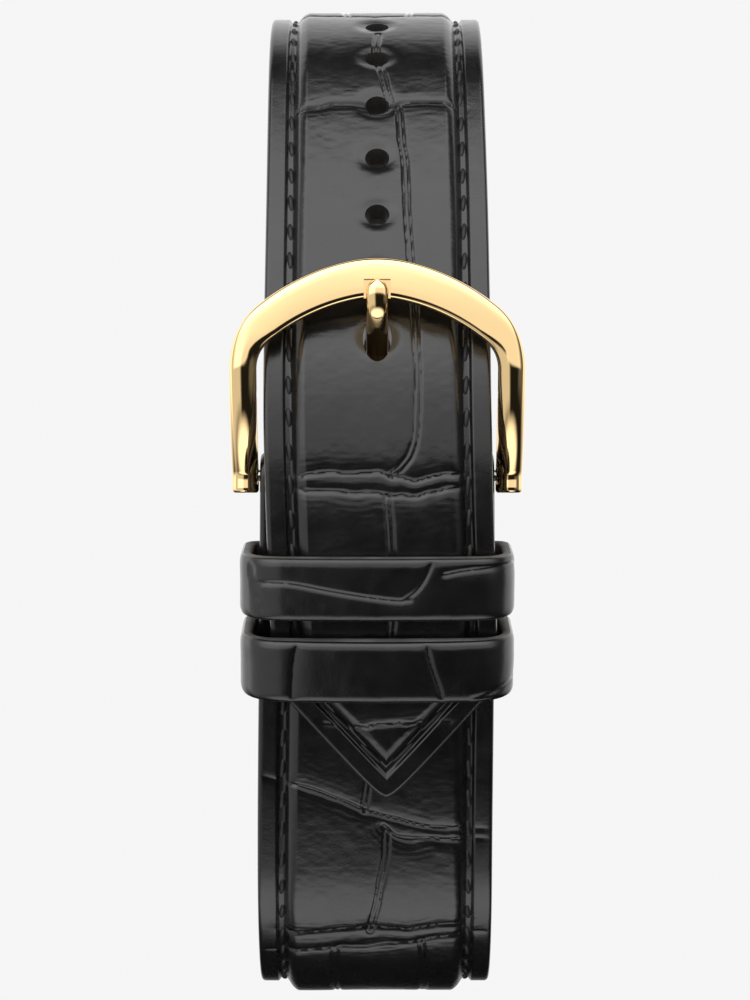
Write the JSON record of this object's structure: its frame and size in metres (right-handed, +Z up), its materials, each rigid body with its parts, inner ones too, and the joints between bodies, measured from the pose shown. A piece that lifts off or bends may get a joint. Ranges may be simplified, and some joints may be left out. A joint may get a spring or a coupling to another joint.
{
  "type": "wristwatch",
  "caption": "Slim rectangular gold-tone wristwatch on a padded black crocodile-pattern leather strap, closed by its tang buckle, with a sliding keeper, pull-out crown and geared hands.",
  "frame": {"origin": "middle of the wrist opening, on the mid plane of the strap", "axes": "+Z up along the length of the watch with six o'clock above twelve, +Y out through the dial, +X to the side of the crown; the buckle faces -Y"},
  "size_m": [0.0211, 0.0525, 0.074],
  "materials": {
    "gold_case": "polished gold-tone plating",
    "gold_buckle": "polished gold-tone plating",
    "brass_movement": "fine brushed",
    "steel_parts": "turned",
    "copper_coil": "enamelled copper wire",
    "strap_leather": "glossy embossed crocodile pattern",
    "strap_lining": "matt smooth calf",
    "strap_padding": "felt",
    "strap_thread": "waxed thread",
    "crystal_glass": "polished",
    "dial_face": "sunray champagne",
    "black_rubber": "matt",
    "nylon_holder": "moulded",
    "circuit_green": "solder mask"
  },
  "bodies": {
    "watch": {"case_body": "gold_case", "case_back": "gold_case", "main_plate": "brass_movement", "train_bridge": "brass_movement", "battery": "steel_parts", "battery_clamp": "steel_parts", "bridge_screw_left": "steel_parts", "bridge_screw_right": "steel_parts", "stator": "steel_parts", "crown_tube": "steel_parts", "buckle_bar_tube": "steel_parts", "buckle_bar_spring": "steel_parts", "lug_bar_twelve_tube": "steel_parts", "lug_bar_twelve_spring": "steel_parts", "lug_bar_six_tube": "steel_parts", "lug_bar_six_spring": "steel_parts", "coil": "copper_coil", "circuit_board": "circuit_green", "movement_holder": "nylon_holder", "crystal_gasket": "nylon_holder", "case_back_gasket": "black_rubber", "crystal": "crystal_glass", "dial": "dial_face", "hole_strap_upper": "strap_leather", "buckle_strap_upper": "strap_leather", "fixed_keeper": "strap_leather", "hole_strap_lining": "strap_lining", "buckle_strap_lining": "strap_lining", "hole_strap_padding": "strap_padding", "buckle_strap_padding": "strap_padding", "hole_strap_thread_left": "strap_thread", "hole_strap_thread_right": "strap_thread", "buckle_strap_thread_left": "strap_thread", "buckle_strap_thread_right": "strap_thread"},
    "minute_train": {"minute_arbor": "brass_movement", "minute_hand": "gold_case"},
    "hour_works": {"hour_wheel": "brass_movement", "hour_hand": "gold_case"},
    "minute_wheel": {"minute_wheel": "brass_movement"},
    "third_wheel": {"third_wheel": "brass_movement"},
    "intermediate_wheel": {"intermediate_wheel": "brass_movement"},
    "rotor": {"rotor": "brass_movement"},
    "crown_slide": {"crown_gasket": "black_rubber"},
    "crown": {"crown": "gold_case", "stem": "steel_parts", "sliding_pinion": "steel_parts"},
    "setting_lever": {"setting_lever": "steel_parts"},
    "free_keeper": {"free_keeper": "strap_leather"},
    "buckle_frame": {"buckle_frame": "gold_buckle"},
    "buckle_tongue": {"buckle_tongue": "gold_buckle"},
    "buckle_bar_tip_left": {"buckle_bar_tip_left": "steel_parts"},
    "buckle_bar_tip_right": {"buckle_bar_tip_right": "steel_parts"},
    "lug_bar_twelve_tip_left": {"lug_bar_twelve_tip_left": "steel_parts"},
    "lug_bar_twelve_tip_right": {"lug_bar_twelve_tip_right": "steel_parts"},
    "lug_bar_six_tip_left": {"lug_bar_six_tip_left": "steel_parts"},
    "lug_bar_six_tip_right": {"lug_bar_six_tip_right": "steel_parts"}
  },
  "joints": [
    {"name": "minute_turn", "type": "hinge", "parent": "watch", "child": "minute_train", "pos_m": [0, 0.0231, -0.0073], "axis": [0, 1, 0], "continuous": true},
    {"name": "hour_turn", "type": "hinge", "parent": "watch", "child": "hour_works", "pos_m": [0, 0.0231, -0.0073], "axis": [0, 1, 0], "continuous": true},
    {"name": "minute_wheel_turn", "type": "hinge", "parent": "watch", "child": "minute_wheel", "pos_m": [0, 0.0231, -0.0097], "axis": [0, 1, 0], "continuous": true},
    {"name": "third_wheel_turn", "type": "hinge", "parent": "watch", "child": "third_wheel", "pos_m": [0, 0.0221, -0.0041], "axis": [0, 1, 0], "continuous": true},
    {"name": "intermediate_wheel_turn", "type": "hinge", "parent": "watch", "child": "intermediate_wheel", "pos_m": [-0.00214, 0.0221, -0.00286], "axis": [0, 1, 0], "continuous": true},
    {"name": "rotor_turn", "type": "hinge", "parent": "watch", "child": "rotor", "pos_m": [-0.00424, 0.0221, -0.00286], "axis": [0, 1, 0], "continuous": true},
    {"name": "crown_pull", "type": "slide", "parent": "watch", "child": "crown_slide", "axis": [1, 0, 0], "range_m": [0, 0.001]},
    {"name": "crown_turn", "type": "hinge", "parent": "crown_slide", "child": "crown", "pos_m": [0, 0.02165, -0.0073], "axis": [1, 0, 0], "continuous": true},
    {"name": "setting_lever_swing", "type": "hinge", "parent": "watch", "child": "setting_lever", "pos_m": [0.0051, 0.0211, -0.0047], "axis": [0, 1, 0], "range_deg": [-25.37, 0.2]},
    {"name": "free_keeper_slide", "type": "hinge", "parent": "watch", "child": "free_keeper", "pos_m": [0, 0.07708, 0.01028], "axis": [1, 0, 0], "range_deg": [0, 6.8]},
    {"name": "buckle_frame_swing", "type": "hinge", "parent": "watch", "child": "buckle_frame", "pos_m": [0, -0.021, 0.0017], "axis": [1, 0, 0], "range_deg": [-1, 1.5]},
    {"name": "buckle_tongue_swing", "type": "hinge", "parent": "buckle_frame", "child": "buckle_tongue", "pos_m": [0, -0.021, 0.0017], "axis": [1, 0, 0], "range_deg": [0, 1]},
    {"name": "buckle_bar_left_press", "type": "slide", "parent": "watch", "child": "buckle_bar_tip_left", "axis": [1, 0, 0], "range_m": [0, 0.0008], "deforming": ["buckle_bar_spring"]},
    {"name": "buckle_bar_right_press", "type": "slide", "parent": "watch", "child": "buckle_bar_tip_right", "axis": [-1, 0, 0], "range_m": [0, 0.0008], "deforming": ["buckle_bar_spring"]},
    {"name": "lug_bar_twelve_left_press", "type": "slide", "parent": "watch", "child": "lug_bar_twelve_tip_left", "axis": [1, 0, 0], "range_m": [0, 0.0008], "deforming": ["lug_bar_twelve_spring"]},
    {"name": "lug_bar_twelve_right_press", "type": "slide", "parent": "watch", "child": "lug_bar_twelve_tip_right", "axis": [-1, 0, 0], "range_m": [0, 0.0008], "deforming": ["lug_bar_twelve_spring"]},
    {"name": "lug_bar_six_left_press", "type": "slide", "parent": "watch", "child": "lug_bar_six_tip_left", "axis": [1, 0, 0], "range_m": [0, 0.0008], "deforming": ["lug_bar_six_spring"]},
    {"name": "lug_bar_six_right_press", "type": "slide", "parent": "watch", "child": "lug_bar_six_tip_right", "axis": [-1, 0, 0], "range_m": [0, 0.0008], "deforming": ["lug_bar_six_spring"]}
  ],
  "couplings": [
    {"joint": "hour_turn", "follows": "minute_turn", "ratio": 0.083333},
    {"joint": "minute_wheel_turn", "follows": "minute_turn", "ratio": -0.33333},
    {"joint": "third_wheel_turn", "follows": "minute_turn", "ratio": -4},
    {"joint": "intermediate_wheel_turn", "follows": "minute_turn", "ratio": 15},
    {"joint": "rotor_turn", "follows": "minute_turn", "ratio": -90},
    {"joint": "setting_lever_swing", "follows": "crown_pull", "rad_per_m": -439.25}
  ]
}
